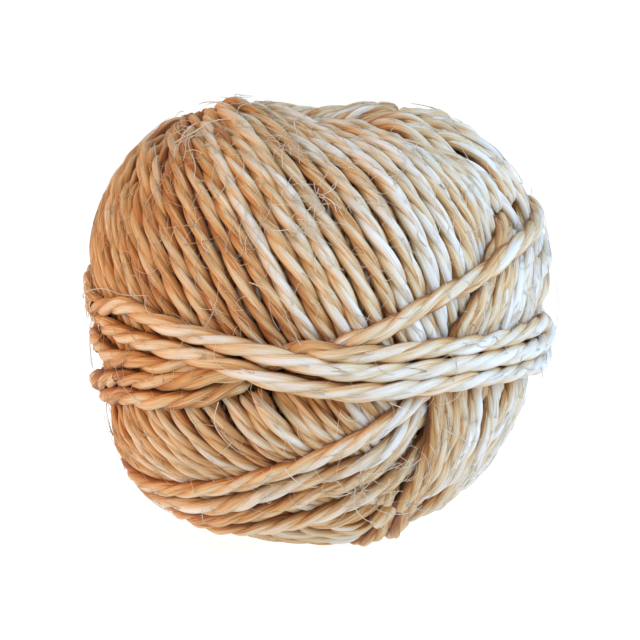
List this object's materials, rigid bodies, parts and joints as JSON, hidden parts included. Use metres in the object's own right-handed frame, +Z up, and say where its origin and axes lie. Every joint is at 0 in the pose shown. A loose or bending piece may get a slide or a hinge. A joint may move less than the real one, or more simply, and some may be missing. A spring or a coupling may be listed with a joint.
{
  "type": "ball of twine",
  "caption": "Machine wound ball of natural sisal twine with a waist band of crossing turns, standing on a small flat spot.",
  "frame": {"origin": "middle of the ball's width and depth, at the height of the surface it rests on", "axes": "+Z up along the way it stands, -Y toward the side seen in the picture, +X to the right in the picture"},
  "size_m": [0.0824, 0.0818, 0.0781],
  "materials": {
    "sisal_twine": "matte natural fibre, laid twist"
  },
  "bodies": {
    "root": {"twine_ball": "sisal_twine"}
  },
  "joints": []
}
